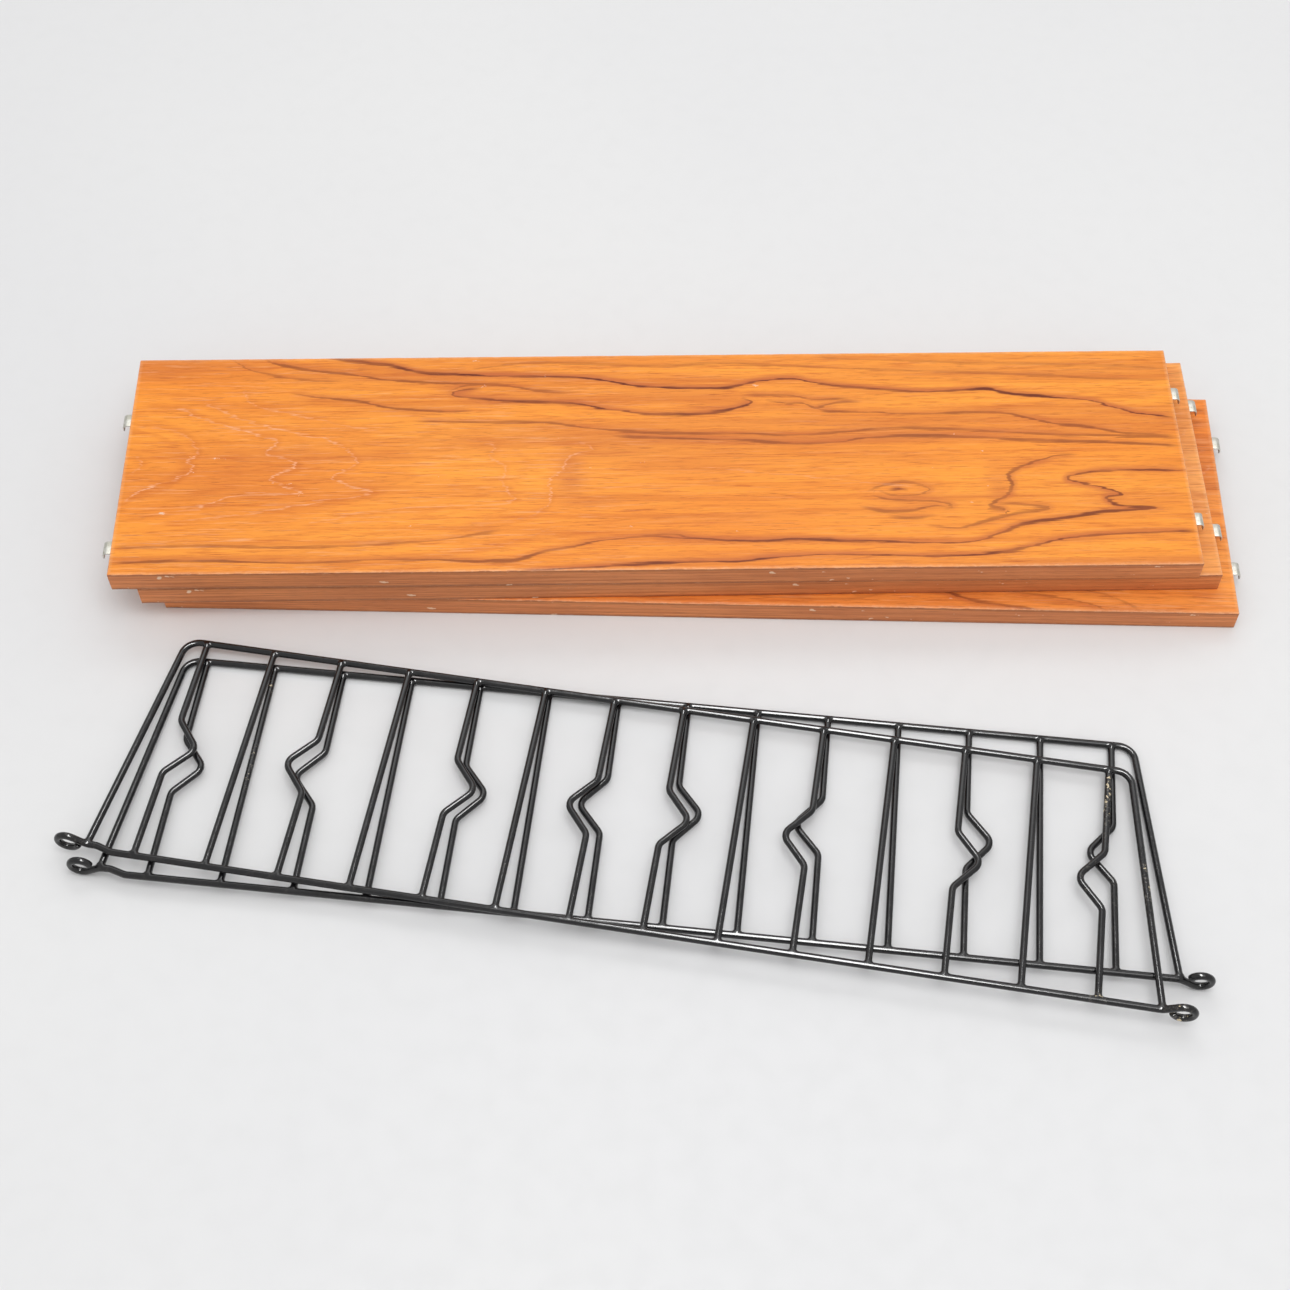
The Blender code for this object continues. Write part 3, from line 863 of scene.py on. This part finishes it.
def rung_path(number, notch):
    """A rung running from the middle of one main wire to the middle of the other."""
    x = number * RUNG_PITCH
    if notch == 0:
        return [Vector((x, 0, 0)), Vector((x, FRAME_DEPTH, 0))]
    centre = FRAME_DEPTH / 2
    corners = [Vector((x, 0, 0)), Vector((x, centre - NOTCH_LENGTH / 2, 0)),
               Vector((x + notch * NOTCH_DEPTH, centre, 0)),
               Vector((x, centre + NOTCH_LENGTH / 2, 0)), Vector((x, FRAME_DEPTH, 0))]
    return round_corners(corners, NOTCH_RADIUS)


def wire_mesh(path, diameter):
    """A round wire with closed ends along the path."""
    curve = bpy.data.curves.new("wire", "CURVE")
    curve.dimensions = "3D"
    curve.bevel_depth = diameter / 2
    curve.bevel_resolution = 4
    curve.use_fill_caps = True
    spline = curve.splines.new("POLY")
    spline.points.add(len(path) - 1)
    for point, place in zip(spline.points, path):
        point.co = (*place, 1.0)
    piece = bpy.data.objects.new("wire", curve)
    bpy.context.scene.collection.objects.link(piece)
    return flatten(piece)


def weld_points():
    """Where a rung or a leg is welded to a main wire, and the way it leaves the wire."""
    for number in range(len(RUNG_PATTERN)):
        x = number * RUNG_PITCH
        yield Vector((x, 0, 0)), Vector((0, 1, 0))
        yield Vector((x, FRAME_DEPTH, 0)), Vector((0, -1, 0))
    left = Vector((LEFT_CORNER - LEFT_FOOT, FRAME_DEPTH - JOGGLE_OFFSET, 0)).normalized()
    right = Vector((RIGHT_CORNER - RIGHT_FOOT, FRAME_DEPTH, 0)).normalized()
    yield Vector((LEFT_FOOT, JOGGLE_OFFSET, 0)), left
    yield Vector((RIGHT_FOOT, 0, 0)), right


def add_weld(shape, place, leave, seed):
    """A small uneven bead round the joint of two wires."""
    swell = 1 + 0.12 * noise.noise(Vector((seed * 3.7, 1.3, 0)))
    beads = bmesh.ops.create_icosphere(shape, subdivisions=3, radius=1.0)["verts"]
    turn = Vector((0, 1, 0)).rotation_difference(leave).to_matrix()
    size = Vector(WELD_SIZE) * swell
    for vertex in beads:
        lump = 1 + 0.1 * noise.noise(vertex.co * 2.2 + Vector((seed, 0, 0)))
        local = Vector([part * scale for part, scale in zip(vertex.co, size)]) * lump
        vertex.co = place + turn @ (local + Vector((0, WELD_REACH, 0)))


def side_frame_mesh(name, hand, material):
    """All wires and welds of a side frame under one skin of coating."""
    shape = bmesh.new()
    wires = [wire_mesh(wall_wire_path(hand), MAIN_WIRE), wire_mesh(front_wire_path(), MAIN_WIRE)]
    for number, notch in enumerate(RUNG_PATTERN):
        wires.append(wire_mesh(rung_path(number, notch), RUNG_WIRE))
    for wire in wires:
        shape.from_mesh(wire)
    for seed, (place, leave) in enumerate(weld_points()):
        add_weld(shape, place, leave, seed)
    rough = bpy.data.meshes.new(f"{name}_core")
    shape.to_mesh(rough)
    shape.free()
    core = bpy.data.objects.new(f"{name}_core", rough)
    bpy.context.scene.collection.objects.link(core)
    fuse = core.modifiers.new("fuse", "REMESH")
    fuse.mode = "VOXEL"
    fuse.voxel_size = COAT_VOXEL
    settle = core.modifiers.new("settle", "SMOOTH")
    settle.factor = 0.5
    settle.iterations = 4
    swell = core.modifiers.new("swell", "DISPLACE")
    swell.strength = COAT_SWELL
    swell.mid_level = 0.0
    mesh = flatten(core)
    mesh.name = name
    mesh.materials.clear()
    mesh.materials.append(material)
    mesh.shade_smooth()
    return mesh


def chip_field(mesh, spots):
    """How likely bare spots are: a little everywhere, and more round the given spots."""
    places = np.array([vertex.co for vertex in mesh.vertices])[:, :2] / MM
    chipped = np.full(len(places), 0.1)
    for along, across, length, depth, amount in spots:
        away = ((places[:, 0] - along) / length) ** 2 + ((places[:, 1] - across) / depth) ** 2
        chipped = np.maximum(chipped, amount * np.exp(-away))
    store(mesh, "chipped", chipped)


# ---------------------------------------------------------------- stage

def add_floor():
    shape = bmesh.new()
    bmesh.ops.create_grid(shape, x_segments=24, y_segments=24, size=9.0)
    mesh = bpy.data.meshes.new("floor")
    shape.to_mesh(mesh)
    shape.free()
    mesh.materials.append(floor_material())
    floor = bpy.data.objects.new("floor", mesh)
    bpy.context.scene.collection.objects.link(floor)
    floor.location.z = -0.0002


def add_light(name, place, size, power, target, only_gloss=False):
    """A rectangular soft box; one for gloss alone shows in shiny surfaces and lights nothing."""
    data = bpy.data.lights.new(name, "AREA")
    data.shape = "RECTANGLE"
    data.size, data.size_y = size
    data.energy = power
    light = bpy.data.objects.new(name, data)
    bpy.context.scene.collection.objects.link(light)
    light.location = place
    light.rotation_euler = (Vector(target) - Vector(place)).to_track_quat("-Z", "Y").to_euler()
    light.visible_diffuse = not only_gloss


def add_world(strength):
    """Even white light from all sides."""
    world = bpy.data.worlds.new("studio")
    world.use_nodes = True
    back = world.node_tree.nodes["Background"]
    back.inputs["Color"].default_value = (1.0, 1.0, 1.0, 1.0)
    back.inputs["Strength"].default_value = strength
    bpy.context.scene.world = world


def add_camera(board_centre):
    """The photographer stood just in front of the frames, looking steeply down."""
    data = bpy.data.cameras.new("camera")
    data.sensor_width = 36.0
    data.lens = CAMERA_LENS
    camera = bpy.data.objects.new("camera", data)
    bpy.context.scene.collection.objects.link(camera)
    place = Matrix.Translation((board_centre.x + CAMERA_ALONG, board_centre.y + CAMERA_ACROSS,
                                CAMERA_HEIGHT))
    heading = Matrix.Rotation(math.radians(CAMERA_HEADING), 4, "Z")
    pitch = Matrix.Rotation(math.radians(CAMERA_PITCH), 4, "X")
    roll = Matrix.Rotation(math.radians(CAMERA_ROLL), 4, "Z")
    camera.matrix_world = place @ heading @ pitch @ roll
    bpy.context.scene.camera = camera


# ---------------------------------------------------------------- build

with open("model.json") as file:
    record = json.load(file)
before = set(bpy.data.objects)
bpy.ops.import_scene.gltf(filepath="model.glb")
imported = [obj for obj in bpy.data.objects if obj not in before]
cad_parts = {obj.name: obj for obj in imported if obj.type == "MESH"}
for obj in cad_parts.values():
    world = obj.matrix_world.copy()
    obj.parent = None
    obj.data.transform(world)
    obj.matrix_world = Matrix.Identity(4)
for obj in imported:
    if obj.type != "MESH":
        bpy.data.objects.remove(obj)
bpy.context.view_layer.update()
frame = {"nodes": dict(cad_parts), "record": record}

VEIN_LAYERS = spread(VEINS, LAYER_ROOM)
PALE_LAYERS = spread(PALE_LINES, LAYER_ROOM)

zinc = zinc_material()
coating = coating_material()
edge_long = edge_material("teak_edge", srgb(226, 142, 84), srgb(178, 100, 56), True, 1)
edge_end = edge_material("teak_end", srgb(226, 144, 84), srgb(182, 104, 58), False, 2)

# Three wood colours, seed, and how strongly dark veins and pale lines show.
finishes = {
    "top_board": (srgb(254, 162, 60), srgb(244, 145, 50), srgb(196, 96, 38), 1, 1.0, 0.8),
    "middle_board": (srgb(254, 176, 98), srgb(246, 158, 78), srgb(196, 104, 52), 2, 0.6, 0.4),
    "bottom_board": (srgb(254, 162, 74), srgb(246, 142, 58), srgb(186, 86, 36), 3, 0.7, 0.4),
}

vein_colour = srgb(112, 50, 26)

for board in BOARDS:
    place = board_place(board)
    back = place.inverted()
    panel = [back @ vertex.co for vertex in frame["nodes"][f"{board}_panel"].data.vertices]
    length = 2 * max(abs(point.x) for point in panel)
    depth = 2 * max(abs(point.y) for point in panel)
    height = max(point.z for point in panel)
    slots = []
    clip_places = {}
    for spot in CLIPS:
        points = [back @ v.co for v in frame["nodes"][f"{board}_clip_{spot}"].data.vertices]
        end = -1 if spot.startswith("left") else 1
        near = min(point.y for point in points)
        far = max(point.y for point in points)
        top = max(point.z for point in points)
        slots.append((end, (near + far) / 2, far - near + 2 * SLOT_ROOM,
                      top - CLIP_SHEET - SLOT_ROOM, top + SLOT_ROOM))
        clip_places[spot] = Vector((end * length / 2, (near + far) / 2, top - CLIP_SHEET / 2))
        clip_width = far - near
    mesh = board_mesh(board, length, depth, height, slots)
    light, mid, dark, seed, vein_share, pale_share = finishes[board]
    veneer = veneer_material(f"{board}_veneer", light, mid, dark, vein_colour, seed,
                             vein_share, pale_share)
    dress_board(mesh, length, depth, height, veneer, edge_long, edge_end)
    add_figure(mesh, board != "top_board")
    add_piece(f"{board}_skin", mesh, place, board,
              [f"{board}_panel", f"{board}_front_lipping", f"{board}_rear_lipping"])
    shared_clip = clip_mesh(clip_width, zinc)
    for spot in CLIPS:
        turn = Matrix.Rotation(0 if spot.startswith("right") else math.pi, 4, "Z")
        add_piece(f"{board}_hook_{spot}", shared_clip,
                  place @ Matrix.Translation(clip_places[spot]) @ turn, board,
                  [f"{board}_clip_{spot}"])

for side_frame, hand in (("lower_frame", 1), ("upper_frame", -1)):
    mesh = side_frame_mesh(f"{side_frame}_skin", hand, coating)
    chip_field(mesh, CHIP_SPOTS[side_frame])
    add_piece(f"{side_frame}_skin", mesh, frame_place(side_frame), side_frame,
              frame["record"]["behaviour"]["bodies"][side_frame])

bpy.context.scene.view_settings.view_transform = "Standard"
add_floor()
add_world(0.72)
add_light("key", (0.35, -0.6, 3.0), (1.8, 1.8), 32, (0, 0, 0))
add_light("back", (0.1, 1.9, 2.4), (3.0, 0.8), 12, (0, 0, 0))
add_light("shine", (0.1, -0.1, 2.4), (2.4, 0.5), 110, (0, -0.1, 0), only_gloss=True)
add_camera(middle("top_board_panel"))
